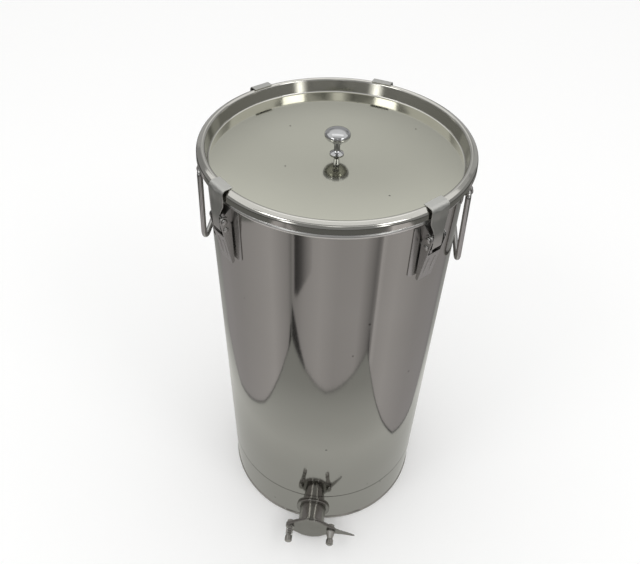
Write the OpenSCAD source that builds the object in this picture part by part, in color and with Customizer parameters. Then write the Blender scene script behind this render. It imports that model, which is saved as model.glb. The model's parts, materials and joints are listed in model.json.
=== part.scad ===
// Honey settling tank: stainless shell with a clamped lid and a swing gate outlet.
// Millimetres, +Z up. The origin is the middle of the flat bottom, and the gate points along -Y.
// Places on the wall are angles measured from -Y towards +X.

/* [Tank] */
// Outside diameter of the shell
tank_d = 300; // [280:2:340]
// Thickness of the sheet that the shell, pan and lid are pressed from
sheet = 1; // [0.8:0.1:1.4]
// Height of the middle of the bead round the mouth
mouth_z = 594; // [480:1:760]
// Outside radius of the bead round the mouth
bead_r = 3.4; // [2.5:0.1:3.6]
// Height of the seam between base pan and shell
seam_z = 70; // [66:1:110]
// Width of the groove that shows at the seam
seam_gap = 1.4; // [0.4:0.1:1.5]
// Length of the pan's lip inside the shell
lap_h = 12; // [8:1:20]
// Height of the rolled foot bead
foot_h = 6.5; // [5:0.5:8]
// How far the foot bead stands out from the wall
foot_out = 1; // [0.6:0.1:1.6]

/* [Lid] */
// Outside radius of the two bends in the lid's rim
rim_r = 2.1; // [1.8:0.1:2.4]
// Height of the rim's inner bend above the mouth bead's middle
rim_rise = 15.9; // [15.5:0.1:17]
// How far the rim's inner bend lies outside the shell
rim_out = 0.85; // [0.8:0.05:1.2]
// Distance from the rim's inner bend to its outer bend
rim_w = 6.6; // [6.2:0.1:7.4]
// Outward fall of the rim's top, degrees
rim_fall = 28.5; // [20:0.5:32]
// Height of the skirt's foot above the mouth bead's middle
skirt_rise = 6.3; // [5.5:0.1:8]
// Outward slope of the skirt, degrees
skirt_flare = 4; // [0:0.5:5]
// Depth of the lid's flat below the crown of its rim
lid_depth = 17; // [15:0.5:18]
// How far the flat sags in its middle
lid_sag = 3; // [1:0.5:4]
// Inward slope of the recess wall, degrees
lid_tilt = 10; // [9:0.5:14]
// Inside radius of the corner between recess wall and flat
lid_corner = 2; // [1.5:0.5:3]

/* [Lid knob] */
// Diameter of the knob's head
knob_d = 30; // [24:1:36]
// Height of the knob above the lid
knob_h = 31.5; // [29:0.5:40]
// Diameter of the knob's neck
neck_d = 7; // [6.4:0.2:10]
// Diameter of the knob's foot
knob_foot_d = 16.5; // [13:0.5:20]
// Diameter of the screw that holds the knob
knob_screw_d = 5; // [4:0.5:5]

/* [Latches] */
// Where the four latches sit round the wall
latch_angles = [-45, 45, 163, -136]; // [-180:1:180]
// Height of the lever's pivot below the mouth bead's middle
pivot_drop = 20; // [18:0.5:30]
// How far the lever's pivot lies outside the shell
pivot_out = 10.5; // [9.5:0.5:13]
// Height of the hook's pivot below the lever's pivot
throw_h = 10.5; // [10:0.1:13]
// How far the hook's pivot lies inside the lever's pivot
throw_in = 0.9; // [0.6:0.1:1.2]
// Diameter of the lever's pin
lever_pin_d = 5; // [4:0.5:5]
// Diameter of the hook's pin
hook_pin_d = 4; // [3:0.5:4]
// Thickness of the latch's sheet
latch_t = 1.2; // [1:0.1:1.5]
// Width of the hook's strap over the rim
strap_w = 25; // [22:1:30]
// Width of the hook's tongue between the ears
tongue_w = 14; // [12:0.5:14]
// How far the strap stands off the rim
strap_off = 1.8; // [1:0.1:4]
// How far the hook reaches in over the rim from the strap
hook_reach = 13; // [10:0.5:13]
// Length of the lever below its pivot
lever_l = 60.5; // [48:0.5:64]
// Width of the lever over its cheeks
lever_w = 21.6; // [20:0.2:24]
// Width of the base plate
latch_base_w = 42; // [34:1:48]
// Height of the base plate
latch_base_h = 68; // [56:1:76]

/* [Handles] */
// Where the two drop handles sit round the wall
handle_angles = [-90, 90]; // [-180:1:180]
// Diameter of the handle's rod
rod_d = 6.5; // [5:0.5:8]
// Width of the handle between the middles of its legs
handle_w = 100; // [90:2:116]
// Drop of the handle from its pivot to the middle of the grip
handle_drop = 99; // [85:1:115]
// Radius of the bends between legs and grip, on the rod's middle
handle_bend = 16; // [10:1:20]
// Height of the handle's pivot below the mouth bead's middle
handle_pivot_drop = 9; // [9:1:24]
// Length of each knuckle along the pivot
knuckle_l = 7; // [5:0.5:8]
// Thickness of the bracket's sheet
bracket_t = 1.5; // [1.2:0.1:2]
// Height of the bracket's plate
bracket_h = 22; // [18:1:26]

/* [Gate] */
// Outside diameter of the outlet pipe
pipe_d = 40; // [34:1:40]
// Wall of the outlet pipe
pipe_wall = 2; // [1.5:0.1:2.5]
// Height of the outlet's middle above the floor
gate_z = 35.5; // [34:0.5:38]
// Distance from the wall to the front of the gate's flange
gate_out = 33; // [28:0.5:60]
// Diameter of the collar at the wall
collar_d = 52; // [46:1:52]
// Depth of the collar in front of the wall
collar_out = 2.5; // [2:0.5:10]
// Diameter of the flange and flap
flap_d = 54; // [50:1:56]
// Thickness of the flange
flange_t = 2.5; // [2.5:0.5:6]
// Thickness of the flap
flap_t = 2.5; // [2.5:0.5:6]
// Distance of each stud from the outlet's middle
stud_x = 31.5; // [30:0.5:34]
// Diameter of the studs
stud_d = 6; // [5:0.5:6]
// Radius of the ears round the studs
ear_r = 7; // [6.5:0.5:9]
// Length of the flap's tail beyond the lock stud
tail_l = 33; // [24:1:44]
// Height of the flap's tail
tail_h = 7; // [5:0.5:8]
// Outward bend of the flap's tail
tail_bend = 8; // [0:1:30]
// Diameter of the nuts on the stud ends
nut_d = 11; // [10:0.5:13]
// Length of the pivot stud's nut
pivot_nut_l = 8.5; // [8:0.5:14]
// Wire of the pivot spring
spring_wire = 1.6; // [1.2:0.1:1.8]
// Number of curls in the pivot spring
spring_curls = 3; // [2:1:4]
// Distance from one curl to the next
spring_pitch = 3.4; // [2.8:0.1:4]

/* [Fits] */
// Gap between pieces that are fixed to each other
fixed_gap = 0.05; // [0.03:0.01:0.08]
// Radial gap of a pin that turns in its hole
running_gap = 0.05; // [0.03:0.01:0.1]
// Gap between pieces that move past each other
moving_gap = 0.3; // [0.25:0.05:0.4]

/* [Hidden] */
$fn = 96;

tank_r = tank_d / 2;
bore_r = tank_r - sheet;

// Lid rim as [distance from the tank's axis, height]: two bends with a skirt outside
bend_in = [tank_r + rim_out, mouth_z + rim_rise];
bend_out = bend_in + rim_w * [cos(rim_fall), -sin(rim_fall)];
crown_z = bend_in[1] + rim_r;
skirt_z = mouth_z + skirt_rise;
lid_edge_z = crown_z - lid_depth;
lid_z = lid_edge_z - lid_sag;
lid_wall_h = bend_in[1] + rim_r * sin(lid_tilt) - lid_edge_z - lid_corner * (1 - sin(lid_tilt));
flat_r = bend_in[0] - (rim_r + lid_corner) * cos(lid_tilt) - lid_wall_h * tan(lid_tilt);
flat_steps = 8;
gasket_w = 6.6;

// Knob, from the lid up
knob_cap_h = 6.5;
knob_under_h = 9;
knob_foot_h = 5.5;
knob_foot_edge = 1.2;
screw_head_d = 9.5;
screw_head_h = 3.5;
screw_grip = 14;
washer_t = 1;

// Latch pivots as [distance from the tank's axis, height]
pivot_a = [tank_r + pivot_out, mouth_z - pivot_drop];
pivot_b = pivot_a - [throw_in, throw_h];
lever_pin_r = lever_pin_d / 2;
hook_pin_r = hook_pin_d / 2;
latch_ear_r = lever_pin_r + 2.5;
cheek_r = lever_pin_r + 3;
pin_head_h = 1.5;
pin_head_lip = 1.1;
ear_slope = 9;
ear_t = (tongue_w / 2 + 1) + latch_t / 2;
cheek_t = lever_w / 2 - latch_t / 2;
eye_r = hook_pin_r + 2.5;
tongue_r = pivot_a[0] + lever_pin_r + 0.4 + latch_t / 2;
strap_r = bend_out[0] + rim_r + strap_off + latch_t / 2;
flange_z = crown_z + moving_gap + latch_t / 2;
hook_bend = 5;
taper_top = pivot_a[1] + 22;
jog = 2;
eye_lip = 0.5;
taper_foot = pivot_a[1] + 10;
web_top = pivot_b[1] - 10.5;
lever_foot = pivot_a[1] - lever_l;
lever_wall_gap = 1.2;
lever_toe = 2;
lever_out_top = pivot_a + [cheek_r, 0];
lever_lean = 4.5;
lever_out_foot = [pivot_a[0] - lever_lean, lever_foot];
ridge_r = 1;
ridge_t = 4.5;
ridge_inset = 3;

// Handle pivots as [distance from the tank's axis, height]. The hanging grip rests on the wall.
sides = ["left", "right"];
rod_r = rod_d / 2;
pin_bend = rod_r + 1.5;
knuckle_r = rod_r + 2;
knuckle_side_gap = 0.75;
knuckle_out = handle_w / 2 - pin_bend - knuckle_side_gap;
knuckle_in = knuckle_out - knuckle_l;
rod_wall_gap = 0.8;
knuckle_wall = sqrt(tank_r * tank_r - knuckle_in * knuckle_in);
handle_pivot = [knuckle_wall + rod_r + rod_wall_gap, mouth_z - handle_pivot_drop];
handle_lean = asin((tank_r + moving_gap + rod_r - handle_pivot[0]) / handle_drop);

// Gate, along -Y from the wall
pipe_r = pipe_d / 2;
pipe_bore_r = pipe_r - pipe_wall;
pipe_in_y = -(bore_r - 3);
flange_y = -(tank_r + gate_out);
flap_y = flange_y - moving_gap;
washer_y = flap_y - flap_t - moving_gap;
stud_r = stud_d / 2;
stud_head_h = 4;
stud_tip = 1;
seat_r = pipe_r + 1;
seat_w = 3;
seat_depth = 1.6;
tail_t = 2;
tail_rise = 3;
tail_drop = 2;
tail_root_drop = 6.5;
thumb_y = washer_y - washer_t - moving_gap;
thumb_foot_r = 7;
thumb_wall = 1.2;
thumb_cone_l = 11;
thumb_l = thumb_cone_l + 8.5;

// Pivot spring along its own axis: straight ends one wire long, then the curls
wire_sides = 6;
curl_rings = 8;
spring_r = stud_r + 1 + spring_wire / 2;
spring_l = spring_curls * spring_pitch + 2 * spring_wire;
spring_y = washer_y - washer_t - fixed_gap;
nut_y = spring_y - spring_l - fixed_gap;
spring_path = concat(
    [[spring_r, 0, 0]],
    [for (k = [0:spring_curls * curl_rings]) let (a = 360 * k / curl_rings)
        [spring_r * cos(a), spring_r * sin(a), spring_wire + spring_pitch * k / curl_rings]],
    [[spring_r, 0, spring_l]]);
function path_dir(i) = unit(spring_path[min(i + 1, len(spring_path) - 1)] - spring_path[max(i - 1, 0)]);
function wire_ring(i) =
    let (p = spring_path[i], t = path_dir(i), out = unit([p[0], p[1], 0]),
         n = unit(out - (out * t) * t), b = cross(t, n))
    [for (k = [0:wire_sides - 1]) let (a = 360 * k / wire_sides) p + spring_wire / 2 * (cos(a) * n + sin(a) * b)];
spring_gap = min([for (i = [0:len(spring_path) - 1], j = [0:len(spring_path) - 1])
    if (j - i > curl_rings / 2) norm(spring_path[j] - spring_path[i])]) - spring_wire;
echo(str("least gap of the pivot spring to itself: ", spring_gap, " mm"));

function unit(v) = v / norm(v);
function left_of(v) = [-v[1], v[0]];
function arc(centre, radius, from, to, steps) =
    [for (k = [0:steps]) let (a = from + (to - from) * k / steps) centre + radius * [cos(a), sin(a)]];
// Point of the skirt at a height, on the face that an outer bend of the given radius runs into
function skirt_at(radius, z) =
    let (start = bend_out + radius * [cos(skirt_flare), sin(skirt_flare)])
    [start[0] + (start[1] - z) * tan(skirt_flare), z];
// Point of the recess wall at a height, on the face that an inner bend of the given radius runs into
function recess_at(radius, z) =
    let (start = bend_in + radius * [-cos(lid_tilt), sin(lid_tilt)])
    [start[0] - (start[1] - z) * tan(lid_tilt), z];
// Height of the flat, which is level at its middle and at its edge
function flat_z(r) = lid_edge_z - lid_sag * pow(1 - pow(r / flat_r, 2), 2);
// Point of the lever's outer edge at a height
function lever_edge(z) =
    lever_out_top + (lever_out_foot - lever_out_top) * (pivot_a[1] - z) / lever_l;
// Outline of a bent strip of even thickness along a line of points
function strip(line, thick) =
    let (last = len(line) - 1,
         side = [for (i = [0:last]) left_of(unit(line[min(i + 1, last)] - line[max(i - 1, 0)])) * thick / 2])
    concat([for (i = [0:last]) line[i] + side[i]], [for (i = [last:-1:0]) line[i] - side[i]]);

// Local X points out from the tank's axis, Y runs along the wall
module at_wall(angle) {
    rotate([0, 0, angle - 90]) children();
}

// Plate cut to an outline in the radial plane, in the middle of the place along the wall
module radial_plate(thick, along = 0) {
    translate([0, along, 0]) rotate([90, 0, 0]) linear_extrude(thick, center = true) children();
}

// Round bar along the wall at a point of the radial plane
module bar(point, radius, length) {
    translate([point[0], 0, point[1]]) rotate([90, 0, 0]) cylinder(r = radius, h = length, center = true);
}

// Round bar along -Y on the gate, from one distance to the next
module gate_bar(x, radius, from, to) {
    translate([x, from, gate_z]) rotate([90, 0, 0]) cylinder(r = radius, h = from - to);
}

// Outline in X and Z extruded along -Y on the gate
module gate_plate(from, thick) {
    translate([0, from, gate_z]) rotate([90, 0, 0]) linear_extrude(thick) children();
}

module tank_shell() {
    bead_c = [bore_r + bead_r, mouth_z];
    color("silver") rotate_extrude() {
        difference() {
            union() {
                translate([bore_r, seam_z + seam_gap]) square([sheet, mouth_z - seam_z - seam_gap]);
                translate(bead_c) circle(r = bead_r);
            }
            translate(bead_c) circle(r = bead_r - sheet);
        }
    }
}

module mouth_wire() {
    color("gray") rotate_extrude() translate([bore_r + bead_r, mouth_z])
        circle(r = bead_r - sheet - fixed_gap);
}

module base_pan() {
    lip_r = bore_r - fixed_gap;
    corner = 3;
    foot_r = tank_r + foot_out;
    half = foot_h / 2;
    color("silver") difference() {
        rotate_extrude() polygon(concat(
            [[0, 0], [foot_r - half, 0]],
            arc([foot_r - half, half], half, -90, 55, 8),
            [[tank_r, foot_h], [tank_r, seam_z], [lip_r, seam_z], [lip_r, seam_z + lap_h],
             [lip_r - sheet, seam_z + lap_h], [lip_r - sheet, seam_z - sheet], [bore_r, seam_z - 2 * sheet]],
            arc([bore_r - corner, sheet + corner], corner, 0, -90, 6),
            [[0, sheet]]));
        gate_bar(0, pipe_r + fixed_gap, -tank_r + 2 * pipe_r, -tank_r - pipe_r);
    }
}

module lid_pan() {
    corner_c = [flat_r, lid_edge_z + lid_corner];
    top = 90 - rim_fall;
    seat = [knob_foot_d / 2 + 1, lid_z];
    flat = concat([seat], [for (k = [2:flat_steps]) let (r = flat_r * k / flat_steps) [r, flat_z(r)]]);
    under = [for (k = [len(flat) - 1:-1:0]) flat[k] - [0, sheet]];
    color("silver") difference() {
        rotate_extrude() polygon(concat(
            [[0, lid_z]], flat,
            arc(corner_c, lid_corner, -90, -lid_tilt, 6),
            arc(bend_in, rim_r, 180 - lid_tilt, top, 10), arc(bend_out, rim_r, top, skirt_flare, 6),
            [skirt_at(rim_r, skirt_z), skirt_at(rim_r - sheet, skirt_z)],
            arc(bend_out, rim_r - sheet, skirt_flare, top, 6), arc(bend_in, rim_r - sheet, top, 180 - lid_tilt, 10),
            arc(corner_c, lid_corner + sheet, -lid_tilt, -90, 6),
            under, [[0, lid_z - sheet]]));
        translate([0, 0, lid_z - 2 * sheet]) cylinder(d = knob_screw_d + 4 * fixed_gap, h = 4 * sheet);
    }
}

module lid_gasket() {
    bead_top = mouth_z + bead_r + moving_gap;
    bead_mid = bore_r + bead_r;
    inside = rim_r - sheet - fixed_gap;
    top = 90 - rim_fall;
    fill_z = skirt_z + sheet;
    color("black") rotate_extrude() polygon(concat(
        [[bead_mid - gasket_w / 2, bead_top], recess_at(inside, fill_z)],
        arc(bend_in, inside, 180 - lid_tilt, top, 6), arc(bend_out, inside, top, skirt_flare, 6),
        [skirt_at(inside, fill_z), [bead_mid + gasket_w / 2, bead_top]]));
}

module lid_knob() {
    head = knob_h - knob_cap_h;
    head_r = knob_d / 2;
    neck_r = neck_d / 2;
    color("gainsboro") translate([0, 0, lid_z + fixed_gap]) difference() {
        rotate_extrude() polygon(concat(
            [[0, 0], [knob_foot_d / 2, 0], [knob_foot_d / 2, knob_foot_edge],
             [neck_r + knob_foot_edge, knob_foot_h - knob_foot_edge], [neck_r, knob_foot_h]],
            [for (k = [0:8]) let (a = 90 * k / 8 - 90)
                [neck_r + (head_r - neck_r) * cos(a), head + knob_under_h * sin(a)]],
            [for (k = [1:10]) let (a = 90 * k / 10) [head_r * cos(a), head + knob_cap_h * sin(a)]]));
        translate([0, 0, -1]) cylinder(d = knob_screw_d + 2 * fixed_gap, h = screw_grip + 1);
    }
}

module knob_screw() {
    under = lid_z - sheet - 2 * fixed_gap - washer_t;
    color("silver") {
        translate([0, 0, under - screw_head_h]) cylinder(d = screw_head_d, h = screw_head_h - fixed_gap);
        translate([0, 0, under - 1]) cylinder(d = knob_screw_d, h = lid_z + screw_grip - 1 - under + 1);
    }
}

module knob_washer() {
    color("silver") translate([0, 0, lid_z - sheet - fixed_gap - washer_t]) difference() {
        cylinder(d = screw_head_d + 3, h = washer_t);
        translate([0, 0, -1]) cylinder(d = knob_screw_d + 2 * fixed_gap, h = washer_t + 2);
    }
}

// Plate bent to the wall, held between two heights
module wall_plate(width, thick, foot, height, along = 0) {
    inner = tank_r + fixed_gap;
    intersection() {
        translate([0, 0, foot]) difference() {
            cylinder(r = inner + thick, h = height, $fn = 180);
            translate([0, 0, -1]) cylinder(r = inner, h = height + 2, $fn = 180);
        }
        translate([tank_r / 2, along - width / 2, foot]) cube([tank_r, width, height]);
    }
}

module latch_base(i) {
    foot = mouth_z - 2 * bead_r - latch_base_h;
    root = tank_r + fixed_gap + latch_t / 2;
    color("silver") at_wall(latch_angles[i]) difference() {
        union() {
            wall_plate(latch_base_w, latch_t, foot, latch_base_h);
            for (side = [-1, 1]) radial_plate(latch_t, side * ear_t) {
                translate(pivot_a) circle(r = latch_ear_r);
                polygon([[root, pivot_a[1] + latch_ear_r + ear_slope], [pivot_a[0], pivot_a[1] + latch_ear_r],
                         [pivot_a[0], pivot_a[1] - latch_ear_r], [root, pivot_a[1] - latch_ear_r]]);
            }
        }
        bar(pivot_a, lever_pin_r + running_gap, lever_w);
    }
}

// Pin with a round head at each end, outside the lever's cheeks
module headed_pin(point, radius, gap) {
    bar(point, radius, lever_w + 2 * gap + pin_head_h);
    for (side = [-1, 1]) translate([0, side * (lever_w / 2 + gap + pin_head_h / 2), 0])
        bar(point, radius + pin_head_lip, pin_head_h);
}

module lever_pin(i) {
    color("gainsboro") at_wall(latch_angles[i]) headed_pin(pivot_a, lever_pin_r, moving_gap);
}

module hook_pin(i) {
    color("gainsboro") at_wall(latch_angles[i]) headed_pin(pivot_b, hook_pin_r, fixed_gap);
}

// Round ridge along the lever's web between two points of the radial plane
module web_ridge(top, foot, along) {
    run = foot - top;
    translate([top[0], along, top[1]]) rotate([0, atan2(run[0], run[1]), 0]) {
        cylinder(r = ridge_r, h = norm(run));
        sphere(r = ridge_r);
        translate([0, 0, norm(run)]) sphere(r = ridge_r);
    }
}

module latch_lever(i) {
    inner_r = tank_r + fixed_gap + latch_t + lever_wall_gap;
    shoulder = [pivot_a[0] - cheek_r, pivot_a[1]];
    inward = -latch_t * left_of(unit(lever_out_foot - lever_out_top));
    color("silver") at_wall(latch_angles[i]) difference() {
        union() {
            for (side = [-1, 1]) radial_plate(latch_t, side * cheek_t) {
                translate(pivot_a) circle(r = cheek_r);
                polygon([lever_out_top, lever_out_foot, [inner_r, lever_foot + lever_toe],
                         [inner_r, pivot_a[1] - cheek_r], shoulder]);
            }
            radial_plate(lever_w - latch_t) polygon([
                lever_edge(web_top), lever_out_foot, lever_out_foot + inward, lever_edge(web_top) + inward]);
            for (side = [-1, 1])
                web_ridge(lever_edge(web_top - ridge_inset), lever_edge(lever_foot + ridge_inset), side * ridge_t);
        }
        bar(pivot_a, lever_pin_r + running_gap, 2 * lever_w);
        bar(pivot_b, hook_pin_r + fixed_gap, 2 * lever_w);
    }
}

module latch_hook(i) {
    corner = [strap_r - hook_bend, flange_z - hook_bend];
    line = concat(
        [[strap_r - hook_reach, flange_z]],
        arc(corner, hook_bend, 90, 0, 8),
        [[strap_r, taper_top - jog], [tongue_r, taper_foot - jog], [tongue_r, pivot_b[1] - eye_r + eye_lip]]);
    color("silver") at_wall(latch_angles[i]) difference() {
        union() {
            intersection() {
                radial_plate(strap_w) polygon(strip(line, latch_t));
                translate([tank_r / 2, 0, 0]) rotate([90, 0, 90]) linear_extrude(tank_r) polygon([
                    [-strap_w / 2, flange_z + latch_t], [strap_w / 2, flange_z + latch_t],
                    [strap_w / 2, taper_top], [tongue_w / 2, taper_foot], [tongue_w / 2, pivot_b[1] - eye_r],
                    [-tongue_w / 2, pivot_b[1] - eye_r], [-tongue_w / 2, taper_foot], [-strap_w / 2, taper_top]]);
            }
            bar(pivot_b, eye_r, tongue_w);
            radial_plate(tongue_w) translate([pivot_b[0], pivot_b[1] - eye_r + eye_lip])
                square([tongue_r - pivot_b[0], 2 * (eye_r - eye_lip)]);
        }
        bar(pivot_b, hook_pin_r + running_gap, 2 * tongue_w);
    }
}

module handle_bracket(i) {
    middle = (knuckle_in + knuckle_out) / 2;
    foot = handle_pivot[1] + knuckle_r - bracket_h;
    color("silver") at_wall(handle_angles[i]) difference() {
        for (side = [-1, 1]) {
            wall_plate(knuckle_l, bracket_t, foot, bracket_h, side * middle);
            translate([0, side * middle, 0]) {
                bar(handle_pivot, knuckle_r, knuckle_l);
                radial_plate(knuckle_l) translate(handle_pivot - [2 * knuckle_r, knuckle_r])
                    square([2 * knuckle_r, 2 * knuckle_r]);
            }
        }
        cylinder(r = tank_r + fixed_gap, h = mouth_z, $fn = 180);
        bar(handle_pivot, rod_r + running_gap, 2 * handle_w);
    }
}

// Quarter bend of the handle's rod in the plane across the wall, round a centre [along, up]
module rod_bend(centre, radius, from) {
    translate([0, centre[0], centre[1]]) rotate([90, 0, 90]) rotate([0, 0, from])
        rotate_extrude(angle = 90) translate([radius, 0]) circle(r = rod_r);
}

module handle(i) {
    leg = handle_w / 2;
    color("gainsboro") at_wall(handle_angles[i]) translate([handle_pivot[0], 0, handle_pivot[1]])
        rotate([0, -handle_lean, 0]) for (side = [0, 180]) rotate([0, 0, side]) {
            translate([0, leg - pin_bend, 0]) rotate([90, 0, 0])
                cylinder(r = rod_r, h = leg - pin_bend - knuckle_in);
            rod_bend([leg - pin_bend, -pin_bend], pin_bend, 0);
            translate([0, leg, -handle_drop + handle_bend])
                cylinder(r = rod_r, h = handle_drop - handle_bend - pin_bend);
            rod_bend([leg - handle_bend, -handle_drop + handle_bend], handle_bend, -90);
            translate([0, leg - handle_bend, -handle_drop]) rotate([90, 0, 0])
                cylinder(r = rod_r, h = leg - handle_bend);
        }
}

module outlet_collar() {
    color("silver") difference() {
        gate_bar(0, collar_d / 2, -tank_r + collar_d / 4, -tank_r - collar_out);
        cylinder(r = tank_r + fixed_gap, h = seam_z, $fn = 180);
        gate_bar(0, pipe_r + fixed_gap, 0, 2 * flange_y);
    }
}

// Outline shared by flange and flap: a disc drawn out to an ear round each stud
module lemon() {
    disc_r = flap_d / 2;
    slope = asin((disc_r - ear_r) / stud_x);
    touch = [sin(slope), cos(slope)];
    circle(r = disc_r);
    for (side = [-1, 1]) {
        translate([side * stud_x, 0]) circle(r = ear_r);
        polygon([for (end = [[0, disc_r, 1], [stud_x, ear_r, 1], [stud_x, ear_r, -1], [0, disc_r, -1]])
            [side * (end[0] + end[1] * touch[0]), end[2] * end[1] * touch[1]]]);
    }
}

module gate_body() {
    color("silver") difference() {
        union() {
            gate_bar(0, pipe_r, pipe_in_y, flange_y);
            gate_plate(flange_y + flange_t, flange_t) lemon();
        }
        gate_bar(0, pipe_bore_r, 0, 2 * flange_y);
        for (side = [-1, 1]) gate_bar(side * stud_x, stud_r + fixed_gap, 0, 2 * flange_y);
        difference() {
            gate_bar(0, seat_r + seat_w, flange_y + seat_depth, flange_y - 1);
            gate_bar(0, seat_r, flange_y + 2 * seat_depth, flange_y - 2);
        }
    }
}

module gate_seal() {
    color("dimgray") difference() {
        gate_bar(0, seat_r + seat_w - fixed_gap, flange_y + seat_depth - fixed_gap, flange_y);
        gate_bar(0, seat_r + fixed_gap, flange_y + 2 * seat_depth, flange_y - 1);
    }
}

module gate_flap() {
    tail_root = stud_x + ear_r - tail_t;
    color("silver") difference() {
        union() {
            gate_plate(flap_y, flap_t) {
                lemon();
                polygon([[stud_x - ear_r, 0], [stud_x - ear_r, ear_r], [stud_x, ear_r + tail_rise],
                         [tail_root + tail_t, tail_h],
                         [tail_root + tail_t, -tail_drop - tail_root_drop], [tail_root, -tail_drop - tail_root_drop]]);
            }
            translate([tail_root, flap_y, gate_z - tail_drop]) rotate([0, 0, -tail_bend]) rotate([90, 0, 0])
                linear_extrude(tail_t) polygon([
                    [0, -tail_root_drop], [tail_l / 2, -1], [tail_l - tail_h / 2, tail_h / 4], [tail_l, tail_h / 2],
                    [tail_l - tail_h / 2, 3 * tail_h / 4], [0, tail_h + tail_rise / 2]]);
        }
        gate_bar(-stud_x, stud_r + running_gap, 0, 2 * flap_y);
        gate_bar(stud_x, stud_r + moving_gap, 0, 2 * flap_y);
        translate([stud_x - stud_r - 4 * moving_gap, 2 * flap_y, gate_z - 2 * ear_r])
            cube([2 * stud_r + 5 * moving_gap, -2 * flap_y, 2 * ear_r]);
    }
}

// Stud with a round head behind the flange's ear
module gate_stud(x, tip) {
    head = flange_y + flange_t + fixed_gap;
    gate_bar(x, nut_d / 2, head + stud_head_h, head);
    gate_bar(x, stud_r, head + stud_head_h / 2, tip);
}

module gate_washer(x) {
    difference() {
        gate_bar(x, nut_d / 2 + 1, washer_y, washer_y - washer_t);
        gate_bar(x, stud_r + fixed_gap, 0, 2 * washer_y);
    }
}

module pivot_stud() {
    color("gainsboro") gate_stud(-stud_x, nut_y - pivot_nut_l / 2);
}

module pivot_washer() {
    color("silver") gate_washer(-stud_x);
}

module pivot_nut() {
    color("gainsboro") difference() {
        gate_bar(-stud_x, nut_d / 2, nut_y, nut_y - pivot_nut_l);
        gate_bar(-stud_x, stud_r + fixed_gap, nut_y + 1, nut_y - pivot_nut_l / 2 - fixed_gap);
    }
}

module pivot_spring() {
    rings = len(spring_path);
    color("gainsboro") translate([-stud_x, spring_y, gate_z]) rotate([90, 0, 0]) polyhedron(
        points = [for (i = [0:rings - 1]) each wire_ring(i)],
        faces = concat(
            [for (i = [0:rings - 2], k = [0:wire_sides - 1]) let (n = (k + 1) % wire_sides)
                each [[i * wire_sides + k, (i + 1) * wire_sides + n, i * wire_sides + n],
                      [i * wire_sides + k, (i + 1) * wire_sides + k, (i + 1) * wire_sides + n]]],
            [for (k = [1:wire_sides - 2]) [0, k, k + 1]],
            [for (k = [1:wire_sides - 2]) (rings - 1) * wire_sides * [1, 1, 1] + [0, k + 1, k]]));
}

module lock_stud() {
    color("gainsboro") gate_stud(stud_x, thumb_y - thumb_l - stud_tip);
}

module lock_washer() {
    color("silver") gate_washer(stud_x);
}

module thumb_nut() {
    grip_r = nut_d / 2;
    waist_r = stud_r + thumb_wall;
    bore = stud_r + running_gap;
    color("gainsboro") translate([stud_x, thumb_y, gate_z]) rotate([90, 0, 0]) rotate_extrude() polygon([
        [bore, 0], [thumb_foot_r, 0], [thumb_foot_r, 1], [waist_r, thumb_cone_l], [grip_r, thumb_cone_l + 1],
        [grip_r, thumb_l - 1], [grip_r - 1, thumb_l], [bore, thumb_l]]);
}

tank_shell();
mouth_wire();
base_pan();
lid_pan();
lid_gasket();
lid_knob();
knob_screw();
knob_washer();
for (i = [0:3]) {
    latch_base(i);
    lever_pin(i);
    latch_lever(i);
    hook_pin(i);
    latch_hook(i);
}
for (i = [0:1]) {
    handle_bracket(i);
    handle(i);
}
outlet_collar();
gate_body();
gate_seal();
gate_flap();
pivot_stud();
pivot_washer();
pivot_spring();
pivot_nut();
lock_stud();
lock_washer();
thumb_nut();
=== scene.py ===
import json
import math

import bmesh
import bpy
from mathutils import Matrix, Quaternion, Vector


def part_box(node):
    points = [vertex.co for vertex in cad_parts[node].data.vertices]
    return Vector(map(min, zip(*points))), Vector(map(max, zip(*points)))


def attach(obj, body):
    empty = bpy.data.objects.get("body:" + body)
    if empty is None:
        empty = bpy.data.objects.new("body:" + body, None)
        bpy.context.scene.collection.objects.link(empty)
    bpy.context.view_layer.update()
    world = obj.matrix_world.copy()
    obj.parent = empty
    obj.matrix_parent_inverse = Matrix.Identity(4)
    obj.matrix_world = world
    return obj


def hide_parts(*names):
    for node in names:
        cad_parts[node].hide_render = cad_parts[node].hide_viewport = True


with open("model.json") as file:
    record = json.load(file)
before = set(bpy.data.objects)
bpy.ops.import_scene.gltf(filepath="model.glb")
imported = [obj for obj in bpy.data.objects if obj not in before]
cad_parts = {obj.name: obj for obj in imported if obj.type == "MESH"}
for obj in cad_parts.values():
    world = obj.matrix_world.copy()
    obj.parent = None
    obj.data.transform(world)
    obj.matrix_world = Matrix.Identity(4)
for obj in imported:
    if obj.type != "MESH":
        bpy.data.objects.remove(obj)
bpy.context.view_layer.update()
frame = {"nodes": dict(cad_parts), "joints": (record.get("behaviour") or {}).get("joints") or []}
scene = bpy.context.scene
joints = {j["name"]: j for j in frame["joints"]}
fullTurn = 2 * math.pi
mm = 0.001  # meshes are modelled in millimetres and scaled once, at the end

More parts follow.
